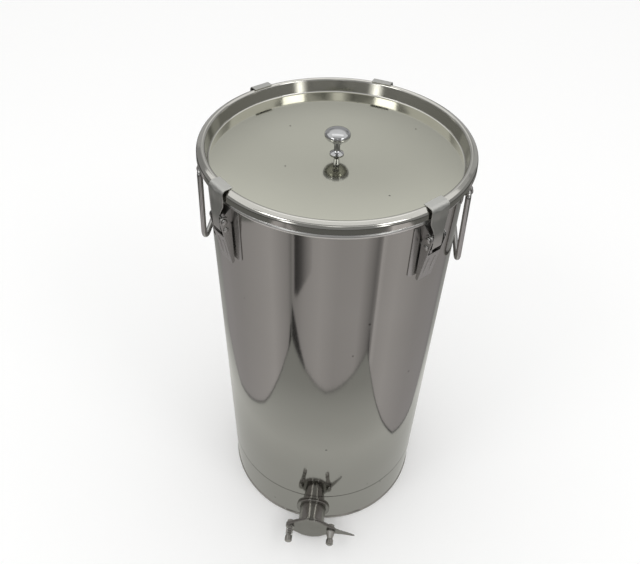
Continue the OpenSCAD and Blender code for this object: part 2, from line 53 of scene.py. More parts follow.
# sizes that several pieces share, millimetres
wall = {"outside": 150.0, "sheet": 1.0, "seam": 70.0, "groove": 1.4, "mouth": 594.0, "bead": 3.4,
        "beadFrom": 590.5}
rim = {"inner": (151.98, 608.60), "innerBend": 3.4, "outer": (153.62, 605.66), "outerBend": 5.2, "fall": 28.5,
       "skirt": 600.3, "flare": 4.0, "flatEdge": 595.0, "sag": 3.0, "tilt": 8.0, "corner": 2.0,
       "paintedRimLightFrom": 145.6}
joinGap = 0.05  # between pieces that are fixed to each other
mergeGap = 0.002  # vertices nearer than this become one
smoothAngle = 38  # degrees, steeper edges are drawn sharp
sharpAngle = 40  # degrees, steeper edges are rounded
flatAngle = 0.4  # degrees, faces that meet flatter than this become one
rimCrown = rim["inner"][1] + rim["innerBend"]
lidMiddle = rim["flatEdge"] - rim["sag"]
print("frame loaded:", len(frame["nodes"]), "nodes")


# shader sockets as Python values

class Wire:
    def __init__(self, finish, socket):
        self.finish = finish
        self.socket = socket

    def maths(self, operation, first, second):
        return self.finish.node("ShaderNodeMath", {"operation": operation}, {0: first, 1: second})

    def __add__(self, other):
        return self.maths("ADD", self, other)

    def __radd__(self, other):
        return self.maths("ADD", other, self)

    def __sub__(self, other):
        return self.maths("SUBTRACT", self, other)

    def __rsub__(self, other):
        return self.maths("SUBTRACT", other, self)

    def __mul__(self, other):
        return self.maths("MULTIPLY", self, other)

    def __rmul__(self, other):
        return self.maths("MULTIPLY", other, self)

    def __gt__(self, other):
        return self.maths("GREATER_THAN", self, other)


class Finish:
    def __init__(self, name):
        self.material = bpy.data.materials.new(name)
        self.material.use_nodes = True
        self.tree = self.material.node_tree
        self.tree.nodes.clear()

    def node(self, kind, settings=None, inputs=None, out=0):
        made = self.tree.nodes.new(kind)
        for key, value in (settings or {}).items():
            if key == "stops":
                ramp = made.color_ramp
                while len(ramp.elements) < len(value):
                    ramp.elements.new(0.5)
                for element, (position, colour) in zip(ramp.elements, value):
                    element.position = position
                    element.color = (*colour, 1)
            else:
                setattr(made, key, value)
        for key, value in (inputs or {}).items():
            if isinstance(value, Wire):
                self.tree.links.new(value.socket, made.inputs[key])
            else:
                made.inputs[key].default_value = value
        return Wire(self, made.outputs[out]) if len(made.outputs) else None

    def place(self, stretch=(1, 1, 1)):  # object coordinates, drawn out by a stretch
        spot = self.node("ShaderNodeTexCoord", out="Object")
        return self.node("ShaderNodeMapping", inputs={"Vector": spot, "Scale": stretch})

    def noise(self, scale, detail=3.0, stretch=(1, 1, 1)):
        inputs = {"Vector": self.place(stretch), "Scale": scale, "Detail": detail}
        return self.node("ShaderNodeTexNoise", inputs=inputs)

    def axis(self, letter):  # one object coordinate
        spot = self.node("ShaderNodeTexCoord", out="Object")
        return self.node("ShaderNodeSeparateXYZ", inputs={"Vector": spot}, out=letter)

    def tint(self, factor, dark, light):
        dark = dark if isinstance(dark, Wire) else (*dark, 1)
        inputs = {"Factor": factor, "A": dark, "B": (*light, 1)}
        return self.node("ShaderNodeMix", {"data_type": "RGBA"}, inputs, out=2)

    def bump(self, height, depth, onto=None):
        inputs = {"Height": height, "Strength": 1.0, "Distance": depth}
        if onto:
            inputs["Normal"] = onto
        return self.node("ShaderNodeBump", inputs=inputs)

    def surface(self, inputs):
        shader = self.node("ShaderNodeBsdfPrincipled", inputs=inputs)
        self.node("ShaderNodeOutputMaterial", inputs={"Surface": shader})
        return self.material

    def metal(self, colour, roughness, normal):
        return self.surface({"Base Color": colour, "Roughness": roughness, "Metallic": 1.0, "Normal": normal})


def specks(finish, scale, share, space="3D"):  # sparse dark dots, 1 inside a dot
    cells = finish.node("ShaderNodeTexVoronoi", {"feature": "F1", "voronoi_dimensions": space},
                        {"Vector": finish.place(), "Scale": scale}, out="Distance")
    return 1 - (cells > share)


def polishedWall():
    finish = Finish("polishedWall")
    cloud = finish.noise(7, 2)
    lines = finish.noise(40, 4, (1, 1, 30))  # polishing lines run round the wall
    colour = finish.tint(cloud, (0.372, 0.366, 0.340), (0.425, 0.420, 0.396))
    colour = finish.tint(0.75 * specks(finish, 26, 0.042), colour, (0.10, 0.095, 0.085))
    bead = finish.axis("Z") > wall["beadFrom"] * mm  # the mouth's bead is painted paler, a painted highlight, and is less polished
    colour = finish.tint(bead, colour, (0.80, 0.795, 0.77))
    waves = finish.bump(finish.noise(9, 1), 0.00035)
    grain = finish.bump(lines, 0.000004, waves)
    return finish.metal(colour, 0.055 + 0.05 * lines + 0.22 * bead, grain)


def spunLid():
    finish = Finish("spunLid")
    cloud = finish.noise(9, 3)
    fine = finish.noise(260, 3)
    colour = finish.tint(cloud, (0.50, 0.50, 0.427), (0.55, 0.548, 0.47))
    colour = finish.tint(0.8 * specks(finish, 9.5, 0.0105, "2D"), colour, (0.09, 0.088, 0.075))
    across = finish.axis("X")
    along = finish.axis("Y")
    paintedRimLight = across * across + along * along > (rim["paintedRimLightFrom"] * mm) ** 2  # the rim is painted paler and greyer than the flat, painted light that brightens its reflections
    colour = finish.tint(paintedRimLight, colour, (0.60, 0.590, 0.548))
    waves = finish.bump(finish.noise(6, 1), 0.0002)
    grain = finish.bump(fine, 0.000006, waves)
    return finish.metal(colour, 0.075 + 0.05 * fine, grain)


def stampedSheet():
    finish = Finish("stampedSheet")
    lines = finish.noise(120, 4, (1, 1, 0.12))  # rolling lines run up and down
    cloud = finish.noise(35, 2)
    colour = finish.tint(cloud, (0.41, 0.405, 0.39), (0.48, 0.475, 0.46))
    grain = finish.bump(lines, 0.00002)
    return finish.metal(colour, 0.20 + 0.14 * lines, grain)


def satinStrap():
    finish = Finish("satinStrap")
    lines = finish.noise(120, 4, (1, 1, 0.12))
    colour = finish.tint(finish.noise(30, 2), (0.55, 0.55, 0.52), (0.61, 0.61, 0.58))
    return finish.metal(colour, 0.36 + 0.10 * lines, finish.bump(lines, 0.00001))


def drawnRod():
    finish = Finish("drawnRod")
    lines = finish.noise(300, 3, (1, 1, 0.05))
    colour = finish.tint(finish.noise(45, 2), (0.46, 0.455, 0.44), (0.56, 0.555, 0.54))
    grain = finish.bump(lines, 0.00001)
    return finish.metal(colour, 0.09 + 0.06 * lines, grain)


def rivetSteel():
    finish = Finish("rivetSteel")
    fine = finish.noise(500, 2)
    colour = finish.tint(fine, (0.44, 0.435, 0.42), (0.54, 0.535, 0.52))
    return finish.metal(colour, 0.14 + 0.08 * fine, finish.bump(fine, 0.00001))


def chromeKnob():
    finish = Finish("chromeKnob")
    fine = finish.noise(180, 2)
    colour = finish.tint(fine, (0.47, 0.47, 0.47), (0.52, 0.525, 0.53))
    return finish.metal(colour, 0.025 + 0.03 * fine, finish.bump(finish.noise(60, 1), 0.00001))


def castGate():
    finish = Finish("castGate")
    fine = finish.noise(420, 4)
    cloud = finish.noise(55, 2)
    colour = finish.tint(cloud, (0.235, 0.23, 0.212), (0.30, 0.295, 0.275))
    return finish.metal(colour, 0.13 + 0.12 * fine, finish.bump(fine, 0.000025))


def turnedNut():
    finish = Finish("turnedNut")
    lines = finish.noise(150, 3, (1, 12, 1))  # tool marks run round the turning axis
    colour = finish.tint(lines, (0.33, 0.325, 0.30), (0.45, 0.445, 0.42))
    return finish.metal(colour, 0.16 + 0.14 * lines, finish.bump(lines, 0.00003))


def springWire():
    finish = Finish("springWire")
    fine = finish.noise(600, 2)
    colour = finish.tint(fine, (0.38, 0.375, 0.35), (0.50, 0.495, 0.47))
    return finish.metal(colour, 0.16 + 0.10 * fine, finish.bump(fine, 0.00001))


def blackRubber():
    finish = Finish("blackRubber")
    fine = finish.noise(700, 4)
    colour = finish.tint(fine, (0.008, 0.008, 0.008), (0.020, 0.020, 0.019))
    return finish.surface({"Base Color": colour, "Roughness": 0.55 + 0.2 * fine,
                           "Normal": finish.bump(fine, 0.00004)})


finishes = {make.__name__: make() for make in (
    polishedWall, spunLid, stampedSheet, satinStrap, drawnRod, rivetSteel, chromeKnob, castGate, turnedNut,
    springWire, blackRubber)}
print("finishes made:", len(finishes))


# modelling helpers, all in millimetres

def quarter(start, steps):  # the angles of a quarter turn
    return [math.radians(start + 90 * k / steps) for k in range(steps + 1)]


def arc(middle, radius, start, end, steps):
    turns = [math.radians(start + (end - start) * k / steps) for k in range(steps + 1)]
    return [(middle[0] + radius * math.cos(a), middle[1] + radius * math.sin(a)) for a in turns]


def outlineEdges(bm, points, closed):
    verts = [bm.verts.new(p) for p in points]
    pairs = list(zip(verts, verts[1:])) + ([(verts[-1], verts[0])] if closed else [])
    return verts, [bm.edges.new(pair) for pair in pairs]


def lathe(bm, outline, steps, closed=True):  # outline of (radius, height), turned round Z
    verts, edges = outlineEdges(bm, [(r, 0, z) for r, z in outline], closed)
    bmesh.ops.spin(bm, geom=verts + edges, cent=(0, 0, 0), axis=(0, 0, 1), angle=fullTurn, steps=steps,
                   use_merge=True)


def softEdges(bm, edges, width):
    bmesh.ops.bevel(bm, geom=edges, offset=width, offset_type="OFFSET", affect="EDGES", segments=2,
                    profile=0.5, material=-1)


def vertsOf(geom):
    return [g for g in geom if isinstance(g, bmesh.types.BMVert)]


def edgesOf(geom):
    return [g for g in geom if isinstance(g, bmesh.types.BMEdge)]


def sharpEdges(faces, angle=sharpAngle):
    edges = {e for f in faces for e in f.edges}
    limit = math.radians(angle)
    return [e for e in edges if len(e.link_faces) == 2 and e.calc_face_angle(0) > limit]


def plate(bm, outline, low, high, edge):  # outline of (x, z), thick along Y
    face = bm.faces.new([bm.verts.new((x, low, z)) for x, z in outline])
    grown = bmesh.ops.extrude_face_region(bm, geom=[face])["geom"]
    moved = vertsOf(grown)
    bmesh.ops.translate(bm, verts=moved, vec=(0, high - low, 0))
    faces = {f for v in moved for f in v.link_faces} | {face}
    bmesh.ops.recalc_face_normals(bm, faces=list(faces))
    softEdges(bm, sharpEdges(faces), edge)


def turned(bm, angle, axis="Z", verts=None):
    bmesh.ops.rotate(bm, cent=(0, 0, 0), matrix=Matrix.Rotation(angle, 3, axis), verts=verts or bm.verts)


def newPiece(name, bm, finish, body, nodes, weighted=True):
    bmesh.ops.remove_doubles(bm, verts=bm.verts, dist=mergeGap)
    bmesh.ops.recalc_face_normals(bm, faces=bm.faces)
    bmesh.ops.scale(bm, vec=(mm, mm, mm), verts=bm.verts)
    mesh = bpy.data.meshes.new(name)
    bm.to_mesh(mesh)
    bm.free()
    mesh.materials.append(finishes[finish])
    mesh.shade_smooth()
    mesh.set_sharp_from_angle(angle=math.radians(smoothAngle))
    piece = bpy.data.objects.new(name, mesh)
    scene.collection.objects.link(piece)
    if weighted:
        piece.modifiers.new("evenNormals", "WEIGHTED_NORMAL").keep_sharp = True
    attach(piece, body)
    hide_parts(*nodes)


def dressedNode(node, finish, body, edge):  # merged copy of a solid, with its edges broken
    bm = bmesh.new()
    bm.from_mesh(frame["nodes"][node].data)
    bmesh.ops.scale(bm, vec=(1 / mm, 1 / mm, 1 / mm), verts=bm.verts)
    bmesh.ops.remove_doubles(bm, verts=bm.verts, dist=mergeGap)
    bmesh.ops.dissolve_limit(bm, angle_limit=math.radians(flatAngle), verts=bm.verts, edges=bm.edges)
    if edge:
        softEdges(bm, sharpEdges(bm.faces), edge)
    newPiece(node + ".dressed", bm, finish, body, [node])


# camera at the photograph's viewing angle

view = {"from": (0.04046, -0.62569, 0.98088), "at": (-0.01418, -0.00124, 0.38713), "roll": 1.96,
        "lens": 35.234, "sensor": 36}


def placeCamera():
    camera = bpy.data.objects.new("camera", bpy.data.cameras.new("camera"))
    scene.collection.objects.link(camera)
    look = Vector(view["at"]) - Vector(view["from"])
    camera.location = view["from"]
    camera.rotation_mode = "QUATERNION"
    roll = Quaternion((0, 0, 1), math.radians(view["roll"]))
    camera.rotation_quaternion = look.to_track_quat("-Z", "Y") @ roll
    camera.data.lens = view["lens"]
    camera.data.sensor_width = view["sensor"]
    scene.camera = camera


placeCamera()


# tank: rolled shell with its mouth bead, and the pan below the seam

shell = {"steps": 288, "edge": 0.6, "beadSteps": 26}
pan = {"footHeight": 6.5, "footOut": 1.0, "footTurn": 62, "footSteps": 10, "groove": 0.9, "creaseLow": 0.3,
       "creaseHigh": 1.1, "wallFrom": 2.2, "lap": 12.0, "corner": 3.0, "cornerSteps": 6, "edge": 0.6,
       "steps": 288}


def makeShell():
    outside, inside = wall["outside"], wall["outside"] - wall["sheet"]
    low = wall["seam"] + wall["groove"]
    bead = (inside + wall["bead"], wall["mouth"])
    meet = 180 + math.degrees(math.acos((bead[0] - outside) / wall["bead"]))
    bm = bmesh.new()
    lathe(bm, [(inside, low), (outside - shell["edge"] / 2, low), (outside, low + shell["edge"])]
          + arc(bead, wall["bead"], meet, 540, shell["beadSteps"]), shell["steps"])
    newPiece("shell", bm, "polishedWall", "tank", ["tank_shell"])


def makePan():
    outside, inside = wall["outside"], wall["outside"] - wall["sheet"]
    top, half = wall["seam"], pan["footHeight"] / 2
    foot = outside + pan["footOut"] - half
    lip = inside - joinGap
    crease, high, corner = outside - pan["groove"], pan["footHeight"], pan["corner"]
    bm = bmesh.new()
    lathe(bm, [(0, 0), (foot, 0)] + arc((foot, half), half, -90, pan["footTurn"], pan["footSteps"])
          + [(crease, high + pan["creaseLow"]), (crease, high + pan["creaseHigh"]),
             (outside, high + pan["wallFrom"]), (outside, top - pan["edge"]),
             (outside - pan["edge"] / 2, top), (lip, top), (lip, top + pan["lap"]),
             (lip - wall["sheet"], top + pan["lap"]), (lip - wall["sheet"], top - wall["sheet"]),
             (inside, top - 2 * wall["sheet"])]
          + arc((inside - corner, wall["sheet"] + corner), corner, 0, -90, pan["cornerSteps"])
          + [(0, wall["sheet"])], pan["steps"], closed=False)
    newPiece("pan", bm, "polishedWall", "tank", ["base_pan"])


makeShell()
makePan()
print("tank made")


# lid: dished pan with its folded rim, gasket and knob

lid = {"flatSteps": 32, "flatFrom": 5, "edge": 0.15, "steps": 288, "cornerSteps": 12, "bendSteps": 24,
       "innerCornerSteps": 10, "innerBendSteps": 12}
gasket = {"lipWidth": 6.6, "lipGap": 0.3, "steps": 192, "bendSteps": 6}
knob = {"across": 30.0, "height": 31.5, "neck": 7.0, "foot": 16.5, "footHeight": 5.5, "cap": 6.5, "bowl": 9.0,
        "footEdge": 0.4, "footWall": 1.1, "hollow": 1.4, "seat": 1.0, "hollowSteps": 8, "bowlSteps": 16,
        "capSteps": 20, "steps": 96}


def skirtAt(inset, z):  # on the skirt's face, or this far inside it
    flare, radius = math.radians(rim["flare"]), rim["outerBend"] - inset
    start = (rim["outer"][0] + radius * math.cos(flare), rim["outer"][1] + radius * math.sin(flare))
    return (start[0] + (start[1] - z) * math.tan(flare), z)


def recessAt(inset, z):  # on the recess wall's face, or this far inside it
    tilt, radius = math.radians(rim["tilt"]), rim["innerBend"] - inset
    start = (rim["inner"][0] - radius * math.cos(tilt), rim["inner"][1] + radius * math.sin(tilt))
    return (start[0] - (start[1] - z) * math.tan(tilt), z)


def rimBends(inset, steps):  # from the recess wall over the top to the skirt
    top = 90 - rim["fall"]
    return (arc(rim["inner"], rim["innerBend"] - inset, 180 - rim["tilt"], top, steps)
            + arc(rim["outer"], rim["outerBend"] - inset, top, rim["flare"], steps))


def makeLid():
    sheet, corner, edge = wall["sheet"], rim["corner"], lid["edge"]
    edgeZ, foot = rim["flatEdge"], rim["skirt"]
    tilt = math.radians(rim["tilt"])
    flatR = recessAt(0, edgeZ + corner * (1 - math.sin(tilt)))[0] - corner * math.cos(tilt)
    flat = [(0, lidMiddle), (knob["foot"] / 2 + knob["seat"], lidMiddle)]
    for k in range(lid["flatFrom"], lid["flatSteps"] + 1):
        r = flatR * k / lid["flatSteps"]
        flat.append((r, edgeZ - rim["sag"] * (1 - (r / flatR) ** 2) ** 2))
    cornerAt = (flatR, edgeZ + corner)
    lip = [skirtAt(0, foot + edge), skirtAt(edge, foot)]
    lip += [skirtAt(sheet - edge, foot), skirtAt(sheet, foot + edge)]
    bm = bmesh.new()
    lathe(bm, flat + arc(cornerAt, corner, -90, -rim["tilt"], lid["cornerSteps"])[1:]
          + rimBends(0, lid["bendSteps"]) + lip + rimBends(sheet, lid["innerBendSteps"])[::-1]
          + arc(cornerAt, corner + sheet, -rim["tilt"], -90, lid["innerCornerSteps"])
          + [(r, z - sheet) for r, z in reversed(flat[:-1])], lid["steps"], closed=False)
    newPiece("lid", bm, "spunLid", "lid", ["lid_pan"])


def makeGasket():
    inside = wall["sheet"] + joinGap
    beadMiddle = wall["outside"] - wall["sheet"] + wall["bead"]
    low = wall["mouth"] + wall["bead"] + gasket["lipGap"]
    left, right = beadMiddle - gasket["lipWidth"] / 2, beadMiddle + gasket["lipWidth"] / 2
    fill = rim["skirt"] + wall["sheet"]
    bm = bmesh.new()
    # black rubber fills the gap under the lid's rim; its black is partly real rubber and partly painted shade
    # of that gap
    lathe(bm, [(left, low), recessAt(inside, fill)] + rimBends(inside, gasket["bendSteps"])
          + [skirtAt(inside, fill), (right, low)], gasket["steps"])
    newPiece("gasket", bm, "blackRubber", "lid", ["lid_gasket"])


def makeKnob():
    head, neck, foot = knob["across"] / 2, knob["neck"] / 2, knob["foot"] / 2
    headZ = knob["height"] - knob["cap"]
    edge, step = knob["footEdge"], knob["footWall"]
    outline = [(0, 0), (foot - edge, 0), (foot, edge), (foot, step)]
    outline += [(neck + (foot - neck) * (1 - math.sin(a)) ** knob["hollow"],
                 step + (knob["footHeight"] - step) * math.sin(a))
                for a in quarter(0, knob["hollowSteps"])[1:]]
    outline += [(neck + (head - neck) * math.cos(a), headZ + knob["bowl"] * math.sin(a))
                for a in quarter(-90, knob["bowlSteps"])]
    outline += [(head * math.cos(a), headZ + knob["cap"] * math.sin(a))
                for a in quarter(0, knob["capSteps"])[1:]]
    bm = bmesh.new()
    lathe(bm, outline, knob["steps"], closed=False)
    bmesh.ops.translate(bm, verts=bm.verts, vec=(0, 0, lidMiddle + joinGap))
    newPiece("knob", bm, "chromeKnob", "lid", ["lid_knob"], weighted=False)


makeLid()
makeGasket()
makeKnob()
dressedNode("knob_screw", "rivetSteel", "lid", 0.3)
dressedNode("knob_washer", "rivetSteel", "lid", 0.15)
print("lid made")


# latches: wall plate with ears, channel lever, rolled hook and two headed pins

latchPlate = {"width": 42.0, "foot": 519.2, "height": 68.0, "corner": 4.0, "cornerSteps": 5, "thick": 1.2,
              "edge": 0.3, "cuts": 6, "cutGap": 3, "cutMerge": 0.0001, "earRadius": 5.0, "earSteps": 14,
              "earSlope": 9.0, "earAt": 8.6, "earEdge": 0.2}
lever = {"length": 60.5, "lean": 4.5, "width": 21.6, "thick": 1.2, "eye": 5.5, "wallGap": 1.2, "toe": 2.0,
         "toeCut": (0.8, 0.6), "cheekEdge": 0.4, "webEdge": 0.25, "webInset": 0.4, "webBelow": 10.5,
         "ridgeAt": 4.5, "ridge": (1.0, 1.3), "ridgeInset": 6.0, "ridgeSides": 16, "ridgeRings": 12,
         "eyeSteps": 18}
hook = {"strap": 25.0, "tongue": 14.0, "thick": 1.2, "reach": 13.0, "face": 161.75, "bend": 5.0,
        "rimGap": 0.3, "pinGap": 0.4, "taperTop": 22.0, "taperFoot": 10.0, "jog": 2.0, "straight": 4.0,
        "curl": 285, "rib": 0.7, "ribNarrow": 2.4, "ribBelow": 6.0, "ribAbove": 1.0, "across": 8, "edge": 0.3,
        "edgeAngle": 55, "barrel": 3.9, "barrelInset": 0.4, "barrelSides": 28, "bendSteps": 10,
        "curlSteps": 22}
pin = {"leverPin": (2.5, 0.3), "hookPin": (2.0, 0.05), "headLip": 1.1, "head": 1.5, "headWall": 0.4,
       "edge": 0.15, "domeSteps": 6, "steps": 32}  # radius and play of each, and one head for both


def pivotOf(joint):  # distance from the tank's axis and height, in millimetres, and the turn about Z
    x, y, z = (v / mm for v in joints[joint]["pos_m"])
    return (math.hypot(x, y), z), math.atan2(y, x)


def makeLatchPlate(i):
    (reach, high), turn = pivotOf("lever_%d_swing" % i)
    low, top, half = latchPlate["foot"], latchPlate["foot"] + latchPlate["height"], latchPlate["width"] / 2
    bm = bmesh.new()
    corners = ((-half, low), (half, low), (half, top), (-half, top))
    sheet = bm.faces.new([bm.verts.new((0, y, z)) for y, z in corners])
    bmesh.ops.bevel(bm, geom=list(sheet.verts), offset=latchPlate["corner"], offset_type="OFFSET",
                    affect="VERTICES", segments=latchPlate["cornerSteps"], profile=0.5, material=-1)
    for k in range(-latchPlate["cuts"], latchPlate["cuts"] + 1):
        bmesh.ops.bisect_plane(bm, geom=bm.verts[:] + bm.edges[:] + bm.faces[:], dist=latchPlate["cutMerge"],
                               plane_co=(0, latchPlate["cutGap"] * k, 0), plane_no=(0, 1, 0))
    inside = wall["outside"] + joinGap
    for v in bm.verts:
        v.co.x = math.sqrt(inside ** 2 - v.co.y ** 2)
    grown = bmesh.ops.extrude_face_region(bm, geom=bm.faces[:])["geom"]
    bmesh.ops.translate(bm, verts=vertsOf(grown), vec=(latchPlate["thick"], 0, 0))
    bmesh.ops.recalc_face_normals(bm, faces=bm.faces)
    softEdges(bm, sharpEdges(bm.faces), latchPlate["edge"])
    halfThick, ear = latchPlate["thick"] / 2, latchPlate["earRadius"]
    root = inside + halfThick
    outline = [(root, high - ear), (root, high + ear + latchPlate["earSlope"])]
    outline += arc((reach, high), ear, 90, -90, latchPlate["earSteps"])
    for side in (-1, 1):
        middle = side * latchPlate["earAt"]
        plate(bm, outline, middle - halfThick, middle + halfThick, latchPlate["earEdge"])
    turned(bm, turn)
    newPiece("latchPlate.%d" % i, bm, "stampedSheet", "tank", ["latch_base_%d" % i])


def makeLever(i):
    (reach, high), turn = pivotOf("lever_%d_swing" % i)
    hookZ = pivotOf("hook_%d_swing" % i)[0][1]
    thick, half = lever["thick"], lever["width"] / 2
    footZ = high - lever["length"]
    outTop, outFoot = Vector((reach + lever["eye"], high)), Vector((reach - lever["lean"], footZ))
    run = (outFoot - outTop).normalized()
    inward = Vector((run.y, -run.x)) * thick
    inner = wall["outside"] + joinGap + latchPlate["thick"] + lever["wallGap"]
    toeX, toeZ = lever["toeCut"]
    cheek = arc((reach, high), lever["eye"], 0, 180, lever["eyeSteps"])
    cheek += [(inner, high - lever["eye"]), (inner, footZ + lever["toe"]), (inner + toeX, footZ + toeZ),
              tuple(outFoot)]
    webTop = outTop + run * ((high - hookZ + lever["webBelow"]) / -run.y)
    bm = bmesh.new()
    for side in (-1, 1):
        low, top = sorted((side * (half - thick), side * half))
        plate(bm, cheek, low, top, lever["cheekEdge"])
    web = [tuple(webTop), tuple(outFoot), tuple(outFoot + inward), tuple(webTop + inward)]
    plate(bm, web, -half + lever["webInset"], half - lever["webInset"], lever["webEdge"])
    slope = math.atan2(run.x, -run.y)
    start, end = webTop + run * lever["ridgeInset"], outFoot - run * lever["ridgeInset"]
    spot = (start + end) / 2
    for side in (-1, 1):
        ridge = bmesh.ops.create_uvsphere(bm, u_segments=lever["ridgeSides"], v_segments=lever["ridgeRings"],
                                          radius=1)["verts"]
        bmesh.ops.scale(bm, vec=(*lever["ridge"], (end - start).length / 2), verts=ridge)
        turned(bm, -slope, "Y", ridge)
        bmesh.ops.translate(bm, verts=ridge, vec=(spot.x, side * lever["ridgeAt"], spot.y))
    turned(bm, turn)
    newPiece("lever.%d" % i, bm, "stampedSheet", "lever_%d" % i, ["latch_lever_%d" % i])


def makeHook(i):
    (reach, high), turn = pivotOf("lever_%d_swing" % i)
    eye = pivotOf("hook_%d_swing" % i)[0]
    thick = hook["thick"]
    top = rimCrown + hook["rimGap"] + thick  # the strap's outer face
    strapX = hook["face"]
    tongueX = reach + pin["leverPin"][0] + hook["pinGap"] + thick
    bend = hook["bend"] + thick / 2
    path = [(strapX - thick / 2 - hook["reach"], top)]
    path += arc((strapX - bend, top - bend), bend, 90, 0, hook["bendSteps"])
    taperTop, taperFoot = high + hook["taperTop"], high + hook["taperFoot"]
    path += [(strapX, taperTop + hook["straight"]), (strapX, taperTop - hook["jog"]),
             (tongueX, taperFoot - hook["jog"]), (tongueX, high)]
    path += arc(eye, tongueX - eye[0], 0, -hook["curl"], hook["curlSteps"])

    def widthAt(z):
        share = (z - taperFoot) / (taperTop - taperFoot)
        return hook["tongue"] + (hook["strap"] - hook["tongue"]) * min(1, max(0, share))

    bm = bmesh.new()
    across = hook["across"]
    steps = [2 * k / across - 1 for k in range(across + 1)]
    edges = outlineEdges(bm, [(path[0][0], s * hook["strap"] / 2, path[0][1]) for s in steps], False)[1]
    for x, z in path[1:]:
        grown = bmesh.ops.extrude_edge_only(bm, edges=edges)["geom"]
        edges = edgesOf(grown)
        row = sorted(vertsOf(grown), key=lambda v: v.co.y)
        ribbed = hook["rib"] if taperTop - hook["ribBelow"] < z < top - bend + hook["ribAbove"] else 0
        for s, v in zip(steps, row):
            v.co = (x + ribbed * max(0, 1 - (hook["ribNarrow"] * s) ** 2), s * widthAt(z) / 2, z)
    bmesh.ops.recalc_face_normals(bm, faces=bm.faces)
    if sum(f.normal.x * f.calc_area() for f in bm.faces if f.calc_center_median().z > high) < 0:
        bmesh.ops.reverse_faces(bm, faces=bm.faces)
    bmesh.ops.solidify(bm, geom=bm.faces[:], thickness=thick)
    bmesh.ops.recalc_face_normals(bm, faces=bm.faces)
    softEdges(bm, sharpEdges(bm.faces, hook["edgeAngle"]), hook["edge"])
    depth = hook["tongue"] - hook["barrelInset"]
    barrel = bmesh.ops.create_cone(bm, cap_ends=True, segments=hook["barrelSides"], radius1=hook["barrel"],
                                   radius2=hook["barrel"], depth=depth)["verts"]
    turned(bm, math.pi / 2, "X", barrel)
    bmesh.ops.translate(bm, verts=barrel, vec=(eye[0], 0, eye[1]))
    turned(bm, turn)
    newPiece("hook.%d" % i, bm, "satinStrap", "hook_%d" % i, ["latch_hook_%d" % i])


def makePin(name, i, joint, body, node):
    (reach, high), turn = pivotOf(joint)
    radius, gap = pin[name]
    head = radius + pin["headLip"]
    low = lever["width"] / 2 + gap
    domeFrom = low + pin["headWall"] * pin["head"]
    domeHeight = (1 - pin["headWall"]) * pin["head"]
    half = [(radius, 0), (radius, low), (head - pin["edge"], low), (head, low + pin["edge"])]
    half += [(head, domeFrom)]
    half += [(head * math.cos(a), domeFrom + domeHeight * math.sin(a))
             for a in quarter(0, pin["domeSteps"])[1:]]
    bm = bmesh.new()
    lathe(bm, [(r, -z) for r, z in reversed(half[1:])] + half, pin["steps"], closed=False)
    turned(bm, math.pi / 2, "X")
    bmesh.ops.translate(bm, verts=bm.verts, vec=(reach, 0, high))
    turned(bm, turn)
    newPiece("%s.%d" % (name, i), bm, "rivetSteel", body, [node])


for i in range(1, 5):
    makeLatchPlate(i)
    makeLever(i)
    makeHook(i)
    makePin("leverPin", i, "lever_%d_swing" % i, "tank", "lever_pin_%d" % i)
    makePin("hookPin", i, "hook_%d_swing" % i, "lever_%d" % i, "hook_pin_%d" % i)
print("latches made")


# drop handles: one bent rod each, in two clips on the wall

handle = {"rod": 6.5, "width": 100.0, "drop": 99.0, "bend": 16.0, "bendSteps": 16, "pinBend": 4.75,
          "pinBendSteps": 8, "pinEnd": 37.5, "gap": 0.3, "sides": 28, "merge": 0.01}


def runStraight(bm, ring, vec):
    grown = bmesh.ops.extrude_edge_only(bm, edges=ring)["geom"]
    bmesh.ops.translate(bm, verts=vertsOf(grown), vec=vec)
    return edgesOf(grown)


def runBend(bm, ring, middle, steps):  # quarter bend in the plane across the wall
    verts = list({v for e in ring for v in e.verts})
    spun = bmesh.ops.spin(bm, geom=verts + ring, cent=middle, axis=(1, 0, 0), angle=-math.pi / 2, steps=steps)
    return edgesOf(spun["geom_last"])


def makeHandle(side):
    (reach, high), turn = pivotOf("handle_%s_swing" % side)
    leg, drop, bend, small = handle["width"] / 2, handle["drop"], handle["bend"], handle["pinBend"]
    rod = handle["rod"] / 2
    bm = bmesh.new()
    cap = bmesh.ops.create_circle(bm, cap_ends=True, segments=handle["sides"], radius=rod)["verts"]
    turned(bm, math.pi / 2, "X")
    bmesh.ops.translate(bm, verts=cap, vec=(0, handle["pinEnd"], 0))
    ring = runStraight(bm, bm.edges[:], (0, leg - small - handle["pinEnd"], 0))
    ring = runBend(bm, ring, (0, leg - small, -small), handle["pinBendSteps"])
    ring = runStraight(bm, ring, (0, 0, -(drop - bend - small)))
    ring = runBend(bm, ring, (0, leg - bend, -drop + bend), handle["bendSteps"])
    runStraight(bm, ring, (0, -(leg - bend), 0))
    bmesh.ops.mirror(bm, geom=bm.verts[:] + bm.edges[:] + bm.faces[:], axis="Y",
                     merge_dist=handle["merge"])
    lean = math.asin((wall["outside"] + handle["gap"] + rod - reach) / drop)
    turned(bm, -lean, "Y")
    bmesh.ops.translate(bm, verts=bm.verts, vec=(reach, 0, high))
    turned(bm, turn)
    newPiece("handle." + side, bm, "drawnRod", "handle_" + side, ["handle_" + side])
    dressedNode("handle_bracket_" + side, "stampedSheet", "tank", 0.3)


makeHandle("left")
makeHandle("right")
print("handles made")


# gate: collar at the wall, outlet pipe with its flange, flap, studs, spring and nuts

gateHeight = 35.5
spring = {"wire": 1.6, "curls": 3, "pitch": 3.4, "radius": 4.8, "stepsPerCurl": 28, "sides": 12}
roundNut = {"radius": 5.5, "knurls": 26, "knurl": 0.35, "chamfer": 0.9, "rows": 6}
waistNut = {"foot": 7.0, "cone": 11.0, "coneFrom": 0.9, "coneSteps": 6, "hollow": 1.25, "waist": 4.2,
            "head": 5.5, "headFrom": 1.6, "headUnder": 0.6, "chamfer": 0.7, "footEdge": 0.3, "footWall": 0.8}


